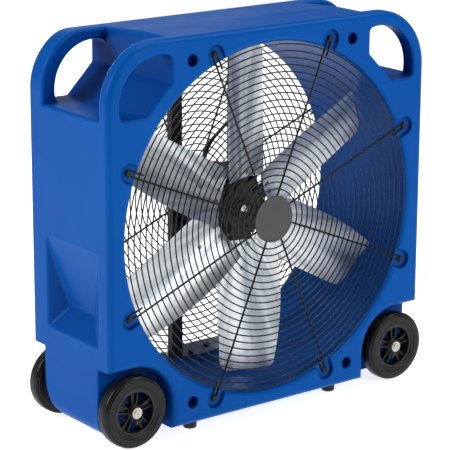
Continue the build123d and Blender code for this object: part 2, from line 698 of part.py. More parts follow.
def rivet_set():
    """The three rivets of one blade: a low head on each side and a shank between them."""
    rivets = []
    grip = BLADE_THICK + ARM_THICK
    for place in rivet_planes(BLADE_THICK + SEAT_GAP):
        with BuildPart() as rivet:
            with BuildSketch(place):
                Circle(RIVET_HEAD_R)
            extrude(amount=RIVET_HEAD)
            fillet(faces().sort_by(Axis(place.origin, place.z_dir))[-1].edges(), radius=RIVET_HEAD * 0.8)
            with BuildSketch(place):
                Circle(RIVET_R)
            extrude(amount=-grip - 4 * SEAT_GAP)
            with BuildSketch(place.offset(-grip - 3 * SEAT_GAP)):
                Circle(RIVET_HEAD_R * 0.8)
            extrude(amount=-RIVET_HEAD)
        rivets.append(rivet.part)
    return rivets


def hub_arm():
    """Riveting arm behind one blade's root, bent to the same hollow."""
    with BuildPart() as arm:
        with BuildSketch(section_plane(ARM_END_R)):
            add(strip_section(ARM_WIDTH / 2, -ARM_THICK - SEAT_GAP, -SEAT_GAP))
        extrude(amount=-(ARM_END_R - ARM_START_R))
        for place in rivet_planes(0):
            with BuildSketch(place):
                Circle(RIVET_R)
            extrude(amount=2 * ARM_THICK, both=True, mode=Mode.SUBTRACT)
    return arm.part


blade = blade_part()
for number, copy in enumerate(round_the_fan(blade, BLADES, FIRST_BLADE), start=1):
    save(copy, f"blade_{number}")
rivets = [one for rivet in rivet_set() for one in round_the_fan(rivet, BLADES, FIRST_BLADE)]
save(gather(rivets), "blade_rivets")

plate_front = HUB_Y - HUB_PLATE_THICK / 2
boss_rear = HUB_Y + BOSS_LENGTH
screw_y = boss_rear - SET_SCREW_R - 3
with BuildPart() as hub_spider:
    with BuildSketch(across(HUB_Y + HUB_PLATE_THICK / 2)):
        RegularPolygon(HUB_PLATE_R, 6)
        fillet(vertices(), radius=HUB_CORNER_R)
    extrude(amount=HUB_PLATE_THICK)
    add(round_the_fan(hub_arm(), BLADES, FIRST_BLADE))
    for outer in HUB_RINGS:
        with BuildSketch(across(plate_front)):
            Circle(outer)
            Circle(outer - HUB_RING_WIDTH, mode=Mode.SUBTRACT)
        extrude(amount=HUB_RING_HEIGHT)
    with BuildSketch(across(boss_rear)):
        Circle(BOSS_R)
    extrude(amount=boss_rear - plate_front + BOSS_NOSE)
    with BuildSketch(across(REAR)):
        Circle(SHAFT_R)
    extrude(amount=DEPTH, mode=Mode.SUBTRACT)
    with BuildSketch(Plane.XY.offset(AXIS_Z)):
        with Locations((0, screw_y)):
            Circle(SET_SCREW_R)
    extrude(amount=BOSS_R + 1, mode=Mode.SUBTRACT)
save(hub_spider.part, "hub_spider")

with BuildPart() as hub_set_screw:
    with BuildSketch(Plane.XY.offset(AXIS_Z + SHAFT_R)):
        with Locations((0, screw_y)):
            Circle(SET_SCREW_R)
    extrude(amount=BOSS_R - SHAFT_R - SET_SCREW_SINK)
    with BuildSketch(Plane.XY.offset(AXIS_Z + BOSS_R - SET_SCREW_SINK)):
        with Locations((0, screw_y)):
            RegularPolygon(SET_SCREW_KEY_R, 6)
    extrude(amount=-SET_SCREW_KEY_DEPTH, mode=Mode.SUBTRACT)
save(hub_set_screw.part, "hub_set_screw")

shaft_front = plate_front - SHAFT_NOSE
shaft_rear = MOTOR_REAR - 2
with BuildPart() as motor_shaft:
    with BuildSketch(across(shaft_rear)):
        Circle(SHAFT_R)
    extrude(amount=shaft_rear - shaft_front)
    chamfer(faces().sort_by(Axis.Y)[0].edges(), length=1)
    with BuildSketch(across(shaft_front + SLOT_DEPTH)):
        Rectangle(SLOT_WIDTH, 3 * SHAFT_R)
    extrude(amount=2 * SLOT_DEPTH, mode=Mode.SUBTRACT)
save(motor_shaft.part, "motor_shaft")


# ---------------------------------------------------------------- motor
core_front = (MOTOR_FRONT + MOTOR_REAR - CORE_LENGTH) / 2
core_rear = core_front + CORE_LENGTH
save(ring(ROTOR_R, SHAFT_R, core_front, core_rear), "motor_rotor")

with BuildPart() as motor_stator:
    with BuildSketch(across(core_rear)):
        Circle(MOTOR_R - CAN_THICK)
        Circle(ROTOR_R + AIR_GAP, mode=Mode.SUBTRACT)
        with PolarLocations(ROTOR_R + 4 + SLOT_REACH / 2, STATOR_SLOTS):
            Rectangle(SLOT_REACH, SLOT_OPENING, mode=Mode.SUBTRACT)
    extrude(amount=CORE_LENGTH)
save(motor_stator.part, "motor_stator")

can_front, can_rear = MOTOR_FRONT + BELL_DEPTH, MOTOR_REAR - BELL_DEPTH
with BuildPart() as motor_can:
    with BuildSketch(across(can_rear)):
        Circle(MOTOR_R)
        Circle(MOTOR_R - CAN_THICK, mode=Mode.SUBTRACT)
    extrude(amount=can_rear - can_front)
    with BuildSketch(Plane.XY.offset(AXIS_Z)):
        with Locations((LEAD_X, LEAD_Y)):
            Circle(CABLE_R + CABLE_GAP)
    extrude(amount=2 * MOTOR_R, mode=Mode.SUBTRACT)
save(motor_can.part, "motor_can")


def end_bell(outer_y, step):
    """Motor end cover from its outer face inwards (step +1 to the rear): rim, vents and bearing seat."""
    inner_y = outer_y + step * BELL_DEPTH
    floor_y = outer_y + step * BELL_SKIN
    seat_y = floor_y + step * BEARING_WIDTH
    vent_y = max(outer_y, floor_y) + 1
    with BuildPart() as bell:
        add(disc(MOTOR_R, min(outer_y, inner_y), max(outer_y, inner_y)))
        fillet(faces().sort_by(Axis.Y)[0 if step > 0 else -1].edges(), radius=BELL_EDGE_R)
        add(disc(MOTOR_R - CAN_THICK, min(floor_y, inner_y), max(floor_y, inner_y)), mode=Mode.SUBTRACT)
        add(ring(BEARING_R + BEARING_SEAT, BEARING_R, min(floor_y, seat_y), max(floor_y, seat_y)))
        add(disc(SHAFT_R + 2, vent_y - BELL_SKIN - 2, vent_y), mode=Mode.SUBTRACT)
        with BuildSketch(across(vent_y)):
            with PolarLocations(VENT_CIRCLE_R, VENTS, start_angle=180 / VENTS):
                SlotOverall(VENT_LENGTH, VENT_WIDTH)
        extrude(amount=BELL_SKIN + 2, mode=Mode.SUBTRACT)
    return bell.part


save(end_bell(MOTOR_FRONT, 1), "motor_front_bell")
save(end_bell(MOTOR_REAR, -1), "motor_rear_bell")
bearing_places = (
    ("front_bearing", MOTOR_FRONT + BELL_SKIN), ("rear_bearing", MOTOR_REAR - BELL_SKIN - BEARING_WIDTH)
)
for node, bearing_y in bearing_places:
    save(ring(BEARING_R, SHAFT_R + RUNNING_GAP, bearing_y, bearing_y + BEARING_WIDTH), node)


# ---------------------------------------------------------------- motor carrier
motor_studs = [(x, z) for x in (-MOTOR_STUD, MOTOR_STUD) for z in (-MOTOR_STUD, MOTOR_STUD)]
strut_bolts = [(x, z) for x in (-STRUT_X, STRUT_X) for z in (-STRUT_BOLT_Z, STRUT_BOLT_Z)]
cross_bolts = [(x, z) for x in (-STRUT_X, STRUT_X) for z in (-CROSS_BOLT_Z, CROSS_BOLT_Z)]

with BuildPart() as motor_plate:
    with BuildSketch(across(STRUT_Y)):
        RectangleRounded(2 * PLATE_HALF_WIDTH, 2 * PLATE_HALF_HEIGHT, PLATE_CORNER_R)
        Circle(PLATE_HOLE_R, mode=Mode.SUBTRACT)
        with Locations(motor_studs + strut_bolts):
            Circle(BOLT_R, mode=Mode.SUBTRACT)
    extrude(amount=PLATE_THICK)
save(motor_plate.part, "motor_plate")


def strut(x):
    """Upright channel from the bottom of the drum to the top, open to the rear."""
    reach = sqrt(drum_radius(CROSS_Y) ** 2 - (abs(x) + STRUT_WIDTH / 2) ** 2) - 1
    with BuildPart() as channel:
        with BuildSketch(Plane.XY.offset(AXIS_Z - reach)):
            with Locations((x, STRUT_Y)):
                Rectangle(STRUT_WIDTH, STRUT_DEPTH, align=(Align.CENTER, Align.MIN))
            with Locations((x, STRUT_Y + STRUT_SHEET)):
                Rectangle(
                    STRUT_WIDTH - 2 * STRUT_SHEET, STRUT_DEPTH, align=(Align.CENTER, Align.MIN),
                    mode=Mode.SUBTRACT,
                )
        extrude(amount=2 * reach)
        with BuildSketch(across(STRUT_Y + STRUT_SHEET)):
            with Locations([place for place in strut_bolts + cross_bolts if place[0] == x]):
                Circle(BOLT_R)
        extrude(amount=STRUT_SHEET, mode=Mode.SUBTRACT)
    return channel.part


save(strut(-STRUT_X), "strut_left")
save(strut(STRUT_X), "strut_right")


def cross_plate():
    """Galvanised angle across the bottom of the drum: an upright web and a curved foot."""
    floor_r = drum_radius(CROSS_Y + CROSS_FOOT) - 0.3
    with BuildPart() as plate:
        add(disc(floor_r, CROSS_Y, CROSS_Y + CROSS_SHEET))
        add(ring(floor_r, floor_r - CROSS_SHEET, CROSS_Y, CROSS_Y + CROSS_FOOT))
        with BuildSketch(across(CROSS_Y + CROSS_FOOT)):
            with Locations((0, CROSS_TOP)):
                Rectangle(2 * PLATE_HALF_WIDTH, FAR, align=(Align.CENTER, Align.MAX))
        extrude(amount=CROSS_FOOT, mode=Mode.INTERSECT)
        with BuildSketch(across(CROSS_Y + CROSS_SHEET)):
            with Locations(CROSS_SCREWS + [(x, -CROSS_BOLT_Z) for x in (-STRUT_X, STRUT_X)]):
                Circle(BOLT_R)
        extrude(amount=CROSS_SHEET, mode=Mode.SUBTRACT)
    return plate.part


def carrier_bolt(x, z, seat_y, grip, step=-1):
    """Hexagon bolt with its head at seat_y; step -1 puts the head in front."""
    with BuildPart() as bolt:
        with BuildSketch(Plane(origin=(x, seat_y, AXIS_Z + z), x_dir=(1, 0, 0), z_dir=(0, step, 0))):
            RegularPolygon(BOLT_HEAD_R, 6)
        extrude(amount=BOLT_HEAD)
        with BuildSketch(Plane(origin=(x, seat_y, AXIS_Z + z), x_dir=(1, 0, 0), z_dir=(0, step, 0))):
            Circle(BOLT_R)
        extrude(amount=-grip)
    return bolt.part


lower_plate = cross_plate()
save(lower_plate, "lower_cross_plate")
save(lower_plate.mirror(Plane.XY.offset(AXIS_Z)), "upper_cross_plate")

bolt_grip = PLATE_THICK + STRUT_SHEET + BOLT_END
plate_bolts = [carrier_bolt(x, z, MOTOR_REAR, bolt_grip) for x, z in strut_bolts]
cross_grip = STRUT_DEPTH + CROSS_SHEET + BOLT_END
foot_bolts = [carrier_bolt(x, z, STRUT_Y, cross_grip) for x, z in cross_bolts]
web_screws = [
    carrier_bolt(x, z * side, CROSS_Y, CROSS_SHEET + BOLT_END) for x, z in CROSS_SCREWS for side in (1, -1)
]
save(gather(plate_bolts), "motor_plate_bolts")
save(gather(foot_bolts + web_screws), "strut_bolts")

# screws from the carrier plate into the motor's rear bell, heads behind the plate
stud_screws = [carrier_bolt(x, z, STRUT_Y, PLATE_THICK + BOLT_END, step=1) for x, z in motor_studs]
save(gather(stud_screws), "motor_screws")


# ---------------------------------------------------------------- motor lead and speed switch
lead_route = [
    (LEAD_X, LEAD_Y, LEAD_Z), (-24, 50, 88), (-8, 51, 114), (23, 57, 132), (54, 63, 151),
    (69, 66, 190), (72, 66, 229), WALL_RUN[0], WALL_RUN[1], (110, 66, 331), (152, 66, 300),
    (205, 64, 263), (251, 60, 217), (292, 54, 168), (319, 46, 138),
    (331, SWITCH_Y, SWITCH_Z + SWITCH_SIZE / 2),
]


def lead_radii(points):
    """The largest bend that fits each corner: 0.45 of its shorter run over tan(half the turn)."""
    radii = []
    for before, corner, after in zip(points, points[1:], points[2:]):
        run_in, run_out = corner - before, after - corner
        half_turn = radians(run_in.get_angle(run_out)) / 2
        radii.append(0.45 * min(run_in.length, run_out.length) / tan(half_turn))
    return radii


lead_points = [Vector(x, y, z + AXIS_Z) for x, y, z in lead_route]
lead_bends = lead_radii(lead_points)
with BuildPart() as motor_cable:
    with BuildLine() as lead_line:
        FilletPolyline(*lead_points, radius=lead_bends)
    with BuildSketch(Plane(origin=lead_line.line @ 0, z_dir=lead_line.line % 0)):
        Circle(CABLE_R)
    sweep()
lead_length = sum(edge.length for edge in lead_line.edges())
print("motor lead bend radii:", [round(r) for r in lead_bends], "length", round(lead_length))
print("motor lead volume over section x length:",
      round(motor_cable.part.volume / (pi * CABLE_R ** 2 * lead_length), 4))
save(motor_cable.part, "motor_cable")

with BuildPart() as cable_grommet:
    with BuildSketch(lead_plane(GROMMET_SEAT)):
        Circle(GROMMET_FLANGE)
    extrude(amount=-GROMMET_LIP)
    with BuildSketch(lead_plane(GROMMET_SEAT)):
        Circle(GROMMET_R)
    extrude(amount=GROMMET_LENGTH)
    with BuildSketch(lead_plane(0)):
        Circle(CABLE_R + RUNNING_GAP)
    extrude(amount=2 * WALL_HOLE_REACH, mode=Mode.SUBTRACT)
save(cable_grommet.part, "cable_grommet")

inner_x = HALF_WIDTH - WALL
with BuildPart() as switch_body:
    with BuildSketch(on_side(inner_x)):
        RectangleRounded(SWITCH_SIZE, SWITCH_SIZE, SWITCH_CORNER_R)
    extrude(amount=-SWITCH_DEPTH)
    with BuildSketch(on_side(inner_x)):
        Circle(STEM_R + RUNNING_GAP)
        with Locations(PLATE_SCREWS):
            Circle(PLATE_SCREW_R + 1)
    extrude(amount=-STEM_LENGTH, mode=Mode.SUBTRACT)
save(switch_body.part, "switch_body")

with BuildPart() as switch_plate:
    with BuildSketch(on_side(HALF_WIDTH)):
        RectangleRounded(*SWITCH_PLATE, SWITCH_PLATE_R)
        Circle(STEM_R + RUNNING_GAP, mode=Mode.SUBTRACT)
        with Locations(PLATE_SCREWS):
            Circle(PLATE_SCREW_R, mode=Mode.SUBTRACT)
    extrude(amount=PLATE_SHEET)
save(switch_plate.part, "switch_plate")

plate_face_x = HALF_WIDTH + PLATE_SHEET
with BuildPart() as switch_plate_screws:
    with BuildSketch(on_side(plate_face_x)):
        with Locations(PLATE_SCREWS):
            Circle(PLATE_SCREW_HEAD_R)
    extrude(amount=PLATE_SCREW_HEAD)
    with BuildSketch(on_side(plate_face_x)):
        with Locations(PLATE_SCREWS):
            Circle(PLATE_SCREW_R)
    extrude(amount=-PLATE_SHEET - WALL - 2)
save(switch_plate_screws.part, "switch_plate_screws")

knob_x = plate_face_x + KNOB_GAP
with BuildPart() as speed_knob:
    with BuildSketch(on_side(knob_x)):
        Circle(KNOB_R)
    extrude(amount=KNOB_DISC)
    chamfer(faces().sort_by(Axis.X)[-1].edges(), length=KNOB_EDGE)
    with BuildSketch(on_side(knob_x)):
        SlotOverall(2 * KNOB_R - 4, KNOB_BAR, rotation=90)
    extrude(amount=KNOB_HEIGHT)
    fillet(faces().sort_by(Axis.X)[-1].edges(), radius=KNOB_EDGE)
    with BuildSketch(on_side(knob_x)):
        Circle(STEM_R)
    extrude(amount=-STEM_LENGTH)
save(speed_knob.part, "speed_knob")

gland_place = (0, GLAND_Z - SWITCH_Z)
with BuildPart() as cord_gland:
    with BuildSketch(on_side(HALF_WIDTH)):
        with Locations(gland_place):
            RegularPolygon(GLAND_NUT_R, 6)
    extrude(amount=GLAND_NUT)
    with BuildSketch(on_side(HALF_WIDTH + GLAND_NUT)):
        with Locations(gland_place):
            Circle(GLAND_R)
    extrude(amount=GLAND_DOME)
    fillet(faces().sort_by(Axis.X)[-1].edges(), radius=GLAND_DOME_EDGE_R)
    with BuildSketch(on_side(HALF_WIDTH)):
        with Locations(gland_place):
            Circle(GLAND_R)
    extrude(amount=-GLAND_TAIL)
    with BuildSketch(on_side(HALF_WIDTH - GLAND_TAIL)):
        with Locations(gland_place):
            Circle(GLAND_BORE_R)
    extrude(amount=GLAND_TAIL + GLAND_NUT + GLAND_DOME, mode=Mode.SUBTRACT)
save(cord_gland.part, "cord_gland")


# ---------------------------------------------------------------- wheels and axles
for side_name, side in (("left", -1), ("right", 1)):
    axle = disc(AXLE_R, FRONT - AXLE_END, REAR + AXLE_END, side * AXLE_X, AXLE_DROP)
    save(axle, f"axle_{side_name}")


def at_corners(part):
    """Four copies of a piece made at the front right wheel, one for each wheel."""
    right = [part, part.mirror(Plane.XZ)]
    return right + [piece.mirror(Plane.YZ) for piece in right]


def axle_cap():
    """Push-on cap over the axle's end: a flange, and a raised crown with a dimple in it."""
    end_y = FRONT - AXLE_END
    with BuildPart() as cap:
        add(disc(CAP_R, end_y - CAP_FLANGE, end_y, AXLE_X, AXLE_DROP))
        add(disc(CAP_CROWN_R, end_y - CAP_THICK, end_y, AXLE_X, AXLE_DROP))
        fillet(faces().sort_by(Axis.Y)[0].edges(), radius=CAP_EDGE_R)
        dimple_y = end_y - CAP_THICK + DIMPLE_DEPTH
        add(disc(DIMPLE_R, dimple_y - CAP_THICK, dimple_y, AXLE_X, AXLE_DROP), mode=Mode.SUBTRACT)
    return cap.part


spacer = ring(SPACER_R, AXLE_R, HUB_INNER_Y + END_PLAY, FRONT + WELL_DEPTH, AXLE_X, AXLE_DROP)
washer = ring(WASHER_R, AXLE_R, FRONT - AXLE_END, HUB_OUTER_Y - END_PLAY, AXLE_X, AXLE_DROP)
save(gather(at_corners(spacer) + at_corners(washer)), "axle_washers")
save(gather(at_corners(axle_cap())), "axle_caps")


def wheel_rim():
    """Front right wheel's rim: hub, band and five open spokes with a rib along each edge."""
    rib_offset = (SPOKE_WEB_WIDTH - SPOKE_RIB_WIDTH) / 2
    bars = (
        (SPOKE_WEB_WIDTH, SPOKE_WEB_DEPTH, 0),
        (SPOKE_RIB_WIDTH, SPOKE_RIB_DEPTH, -rib_offset), (SPOKE_RIB_WIDTH, SPOKE_RIB_DEPTH, rib_offset),
    )
    with BuildPart() as rim:
        add(ring(TYRE_INNER_R, RIM_BAND_R, WHEEL_Y - RIM_WIDTH / 2, WHEEL_Y + RIM_WIDTH / 2))
        add(disc(HUB_R, HUB_OUTER_Y, HUB_INNER_Y))
        for width, depth, offset in bars:
            with BuildSketch(across(WHEEL_Y + depth / 2)):
                for k in range(RIM_SPOKES):
                    with Locations(Location((0, 0, 0), (0, 0, 90 + 360 * k / RIM_SPOKES))):
                        with Locations((AXLE_R, offset)):
                            Rectangle(TYRE_INNER_R - 2 * AXLE_R, width, align=(Align.MIN, Align.CENTER))
            extrude(amount=depth)
        add(disc(AXLE_R + RUNNING_GAP, FRONT - WALL, FRONT + WELL_DEPTH), mode=Mode.SUBTRACT)
    return rim.part.moved(Location((AXLE_X, 0, AXLE_DROP)))


def wheel_tyre():
    """Front right wheel's tyre: solid rubber with round shoulders and two grooves on each side."""
    front_y, rear_y = WHEEL_Y - TYRE_WIDTH / 2, WHEEL_Y + TYRE_WIDTH / 2
    with BuildPart() as tyre:
        add(ring(WHEEL_R, TYRE_INNER_R, front_y, rear_y))
        shoulders = edges().filter_by(GeomType.CIRCLE).filter_by(lambda e: e.radius > WHEEL_R - 1)
        fillet(shoulders, radius=SHOULDER_R)
        for radius in GROOVE_RADII:
            for face_y in (front_y, rear_y):
                low_y, high_y = face_y - GROOVE_DEPTH, face_y + GROOVE_DEPTH
                add(ring(radius, radius - GROOVE_WIDTH, low_y, high_y), mode=Mode.SUBTRACT)
    return tyre.part.moved(Location((AXLE_X, 0, AXLE_DROP)))


corner_names = ("front_right", "rear_right", "front_left", "rear_left")
for name, rim, tyre in zip(corner_names, at_corners(wheel_rim()), at_corners(wheel_tyre())):
    save(rim, f"rim_{name}")
    save(tyre, f"tyre_{name}")


# ---------------------------------------------------------------- feet
with BuildPart() as feet:
    with BuildSketch():
        with GridLocations(2 * FOOT_X, 2 * FOOT_Y, 2, 2):
            Circle(FOOT_R)
    extrude(amount=FOOT_HEIGHT)
    chamfer(faces().group_by(Axis.Z)[0].edges(), length=FOOT_EDGE)
    with BuildSketch():
        with GridLocations(2 * FOOT_X, 2 * FOOT_Y, 2, 2):
            Circle(FOOT_SCREW_HEAD_R + 1)
    extrude(amount=FOOT_RECESS, mode=Mode.SUBTRACT)
    with BuildSketch():
        with GridLocations(2 * FOOT_X, 2 * FOOT_Y, 2, 2):
            Circle(FOOT_SCREW_R)
    extrude(amount=FOOT_HEIGHT, mode=Mode.SUBTRACT)
save(feet.part, "feet")

with BuildPart() as foot_screws:
    with BuildSketch(Plane.XY.offset(FOOT_RECESS - FOOT_SCREW_HEAD)):
        with GridLocations(2 * FOOT_X, 2 * FOOT_Y, 2, 2):
            Circle(FOOT_SCREW_HEAD_R)
    extrude(amount=FOOT_SCREW_HEAD)
    with BuildSketch(Plane.XY.offset(FOOT_RECESS)):
        with GridLocations(2 * FOOT_X, 2 * FOOT_Y, 2, 2):
            Circle(FOOT_SCREW_R)
    extrude(amount=FOOT_HEIGHT - FOOT_RECESS + WALL + FOOT_SCREW_END)
save(foot_screws.part, "foot_screws")
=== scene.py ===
import json
from math import cos, radians, sin, sqrt, tau

import bmesh
import bpy
from mathutils import Matrix, Vector


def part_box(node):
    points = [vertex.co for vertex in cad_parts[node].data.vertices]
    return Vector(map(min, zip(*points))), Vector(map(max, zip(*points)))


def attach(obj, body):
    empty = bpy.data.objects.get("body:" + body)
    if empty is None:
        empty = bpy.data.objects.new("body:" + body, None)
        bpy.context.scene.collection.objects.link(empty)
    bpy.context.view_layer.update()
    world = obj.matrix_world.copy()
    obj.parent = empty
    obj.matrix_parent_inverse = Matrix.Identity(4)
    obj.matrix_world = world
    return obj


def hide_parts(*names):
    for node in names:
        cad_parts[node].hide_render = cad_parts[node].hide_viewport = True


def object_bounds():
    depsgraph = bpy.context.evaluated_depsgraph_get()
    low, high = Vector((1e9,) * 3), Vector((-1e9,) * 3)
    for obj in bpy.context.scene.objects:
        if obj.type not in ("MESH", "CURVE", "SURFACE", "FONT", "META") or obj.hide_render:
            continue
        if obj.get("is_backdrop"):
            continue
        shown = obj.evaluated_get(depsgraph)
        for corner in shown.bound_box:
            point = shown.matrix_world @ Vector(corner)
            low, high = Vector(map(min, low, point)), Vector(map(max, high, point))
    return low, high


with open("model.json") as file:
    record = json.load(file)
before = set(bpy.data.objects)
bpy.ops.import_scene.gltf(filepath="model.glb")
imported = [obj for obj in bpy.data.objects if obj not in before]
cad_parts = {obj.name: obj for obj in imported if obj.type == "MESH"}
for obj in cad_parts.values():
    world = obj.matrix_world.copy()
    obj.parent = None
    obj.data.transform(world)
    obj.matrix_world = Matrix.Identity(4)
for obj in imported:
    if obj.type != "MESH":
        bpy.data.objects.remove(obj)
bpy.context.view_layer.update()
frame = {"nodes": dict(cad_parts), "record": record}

# Looks of the portable axial air mover. Metres, in the row frame: the fan's axis runs along Y.
AXIS = Vector((0, 0, 0.366))
NODES = frame["nodes"]
PARTS = {part["node"]: part for part in frame["record"]["subparts"]}


# ---------------------------------------------------------------- materials
class Finish:
    """A Principled material with its procedural detail."""

    def __init__(self, name, color, roughness, metallic=0.0):
        self.material = bpy.data.materials.new(name)
        self.material.use_nodes = True
        self.tree = self.material.node_tree
        self.shader = self.tree.nodes["Principled BSDF"]
        self.set("Base Color", (*color, 1.0))
        self.set("Roughness", roughness)
        self.set("Metallic", metallic)
        self.place = self.node("ShaderNodeTexCoord").outputs["Object"]
        self.normal = None

    def set(self, socket, value):
        self.shader.inputs[socket].default_value = value

    def node(self, kind, **values):
        made = self.tree.nodes.new(kind)
        for key, value in values.items():
            setattr(made, key, value)
        return made

    def link(self, source, target):
        self.tree.links.new(source, target)

    def math(self, operation, first, second=0.0):
        made = self.node("ShaderNodeMath", operation=operation)
        for socket, value in zip(made.inputs, (first, second)):
            if isinstance(value, (int, float)):
                socket.default_value = value
            else:
                self.link(value, socket)
        return made.outputs[0]

    def polar(self, around, along, depth):
        """Coordinates about the fan's axis: angle, radius and depth, each with its scale."""
        moved = self.node("ShaderNodeVectorMath", operation="SUBTRACT")
        self.link(self.place, moved.inputs[0])
        moved.inputs[1].default_value = AXIS
        split = self.node("ShaderNodeSeparateXYZ")
        self.link(moved.outputs[0], split.inputs[0])
        x, y, z = split.outputs
        squares = self.math("ADD", self.math("MULTIPLY", x, x), self.math("MULTIPLY", z, z))
        radius = self.math("SQRT", squares)
        angle = self.math("ARCTAN2", z, x)
        joined = self.node("ShaderNodeCombineXYZ")
        self.link(self.math("MULTIPLY", angle, around), joined.inputs[0])
        self.link(self.math("MULTIPLY", radius, along), joined.inputs[1])
        self.link(self.math("MULTIPLY", y, depth), joined.inputs[2])
        return joined.outputs[0]

    def noise(self, scale, detail=4.0, roughness=0.5, place=None):
        made = self.node("ShaderNodeTexNoise")
        made.inputs["Scale"].default_value = scale
        made.inputs["Detail"].default_value = detail
        made.inputs["Roughness"].default_value = roughness
        self.link(place or self.place, made.inputs["Vector"])
        return made.outputs["Fac"]

    def cells(self, scale):
        made = self.node("ShaderNodeTexVoronoi")
        made.inputs["Scale"].default_value = scale
        self.link(self.place, made.inputs["Vector"])
        return made

    def remap(self, value, low, high, out_low, out_high):
        made = self.node("ShaderNodeMapRange")
        self.link(value, made.inputs["Value"])
        for socket, number in zip(made.inputs[1:5], (low, high, out_low, out_high)):
            socket.default_value = number
        return made.outputs[0]

    def colours(self, value, *stops):
        ramp = self.node("ShaderNodeValToRGB")
        elements = ramp.color_ramp.elements
        while len(elements) < len(stops):
            elements.new(0.5)
        for element, (position, color) in zip(elements, stops):
            element.position = position
            element.color = (*color, 1.0)
        self.link(value, ramp.inputs[0])
        self.link(ramp.outputs[0], self.shader.inputs["Base Color"])

    def shade_recesses(self, distance, shade_tint):
        """Paints shade into the base colour: darkens it towards a shade tint where the surface is shut
        in.
        """
        shut_in = self.node("ShaderNodeAmbientOcclusion", samples=8, only_local=True)
        shut_in.inputs["Distance"].default_value = distance
        blend = self.node("ShaderNodeMix", data_type="RGBA")
        base = self.shader.inputs["Base Color"]
        open_share = self.remap(shut_in.outputs["AO"], 0.3, 0.95, 0.0, 1.0)
        self.link(open_share, blend.inputs["Factor"])
        blend.inputs["A"].default_value = (*shade_tint, 1.0)
        self.link(base.links[0].from_socket, blend.inputs["B"])
        self.link(blend.outputs["Result"], base)

    def gloss(self, value, smooth, rough, low=0.3, high=0.7):
        """Roughness between smooth and rough as the value goes from low to high."""
        self.link(self.remap(value, low, high, smooth, rough), self.shader.inputs["Roughness"])

    def bump(self, height, distance, strength=1.0):
        """Adds one more layer of relief, `distance` metres deep."""
        made = self.node("ShaderNodeBump")
        made.inputs["Distance"].default_value = distance
        made.inputs["Strength"].default_value = strength
        self.link(height, made.inputs["Height"])
        if self.normal:
            self.link(self.normal, made.inputs["Normal"])
        self.normal = made.outputs[0]
        self.link(self.normal, self.shader.inputs["Normal"])


def moulded_blue():
    """Rotomoulded polyethylene: satin, softly wavy, with a fine grain and faint mottling."""
    deep, blue, light = (0.0, 0.066, 0.308), (0.0, 0.073, 0.330), (0.0, 0.081, 0.354)
    finish = Finish("housing_blue", blue, roughness=0.4)
    finish.set("Specular IOR Level", 0.05)
    waves = finish.noise(5.5, detail=3.0, roughness=0.55)
    grain = finish.noise(620.0, detail=3.0, roughness=0.6)
    finish.colours(waves, (0.3, deep), (0.55, blue), (0.78, light))
    # painted shade: the base colour goes towards deep navy in recesses and hollows
    finish.shade_recesses(distance=0.17, shade_tint=(0.0, 0.008, 0.11))
    finish.gloss(finish.noise(26.0, detail=5.0, roughness=0.6), smooth=0.3, rough=0.4)
    finish.bump(waves, distance=0.0035, strength=0.5)
    finish.bump(finish.noise(60.0, detail=2.0), distance=0.00035, strength=0.5)
    finish.bump(grain, distance=0.00006, strength=0.7)
    return finish.material


def coated_black(name, color, smooth, rough, grain):
    """Powder coat or moulded plastic in black: fine orange peel and slight wear in the gloss."""
    finish = Finish(name, color, rough)
    finish.set("Specular IOR Level", 0.28)
    finish.gloss(finish.noise(140.0, detail=4.0), smooth, rough, low=0.32, high=0.68)
    lighter = tuple(1.4 * c + 0.001 for c in color)
    finish.colours(finish.noise(70.0, detail=5.0, roughness=0.65), (0.35, color), (0.75, lighter))
    finish.bump(finish.noise(grain, detail=2.0), distance=0.00008, strength=0.6)
    return finish.material


def rolled_aluminium():
    """Blade sheet: broad light and dark bands along the blade painted in as reflections, roller waves and
    handling marks.
    """
    finish = Finish("blade_metal", (0.60, 0.64, 0.68), roughness=0.33, metallic=0.92)
    finish.set("Anisotropic", 0.35)
    along_blade = finish.polar(around=2.6, along=1.6, depth=3.0)
    # painted reflection: broad light and dark bands in the base colour along each blade
    painted_reflection_bands = finish.noise(3.0, detail=3.0, place=along_blade)
    dark, middle, bright = (0.33, 0.37, 0.41), (0.60, 0.64, 0.67), (0.84, 0.86, 0.88)
    finish.colours(painted_reflection_bands, (0.34, dark), (0.5, middle), (0.66, bright))
    marks = finish.noise(34.0, roughness=0.6)
    finish.gloss(marks, smooth=0.32, rough=0.44, high=0.72)
    across_blade = finish.polar(around=4.0, along=24.0, depth=4.0)
    finish.bump(finish.noise(7.0, detail=1.5, place=across_blade), distance=0.0011, strength=0.45)
    return finish.material


def galvanised():
    """Hot-dip zinc: crystal spangle in several greys, slightly dull."""
    dark, middle, light = (0.46, 0.48, 0.50), (0.60, 0.62, 0.635), (0.72, 0.735, 0.74)
    finish = Finish("zinc_steel", (0.60, 0.61, 0.62), roughness=0.4, metallic=0.2)
    spangle = finish.cells(210.0)
    crystal = finish.node("ShaderNodeSeparateColor")
    finish.link(spangle.outputs["Color"], crystal.inputs[0])
    grey, dullness, _ = crystal.outputs
    finish.colours(grey, (0.0, dark), (0.5, middle), (1.0, light))
    finish.gloss(dullness, smooth=0.3, rough=0.52, low=0.0, high=1.0)
    finish.bump(spangle.outputs["Distance"], distance=0.00012, strength=0.5)
    return finish.material


def turned_steel(name, color, smooth, rough):
    """Machined or plated metal with fine rings about the fan's axis."""
    finish = Finish(name, color, rough, metallic=1.0)
    turning = finish.polar(around=0.4, along=900.0, depth=250.0)
    rings = finish.noise(4.0, detail=3.0, roughness=0.6, place=turning)
    finish.gloss(rings, smooth, rough)
    darker = tuple(0.72 * c for c in color)
    finish.colours(finish.noise(120.0, roughness=0.6), (0.3, darker), (0.6, color))
    finish.bump(rings, distance=0.00003, strength=0.5)
    return finish.material


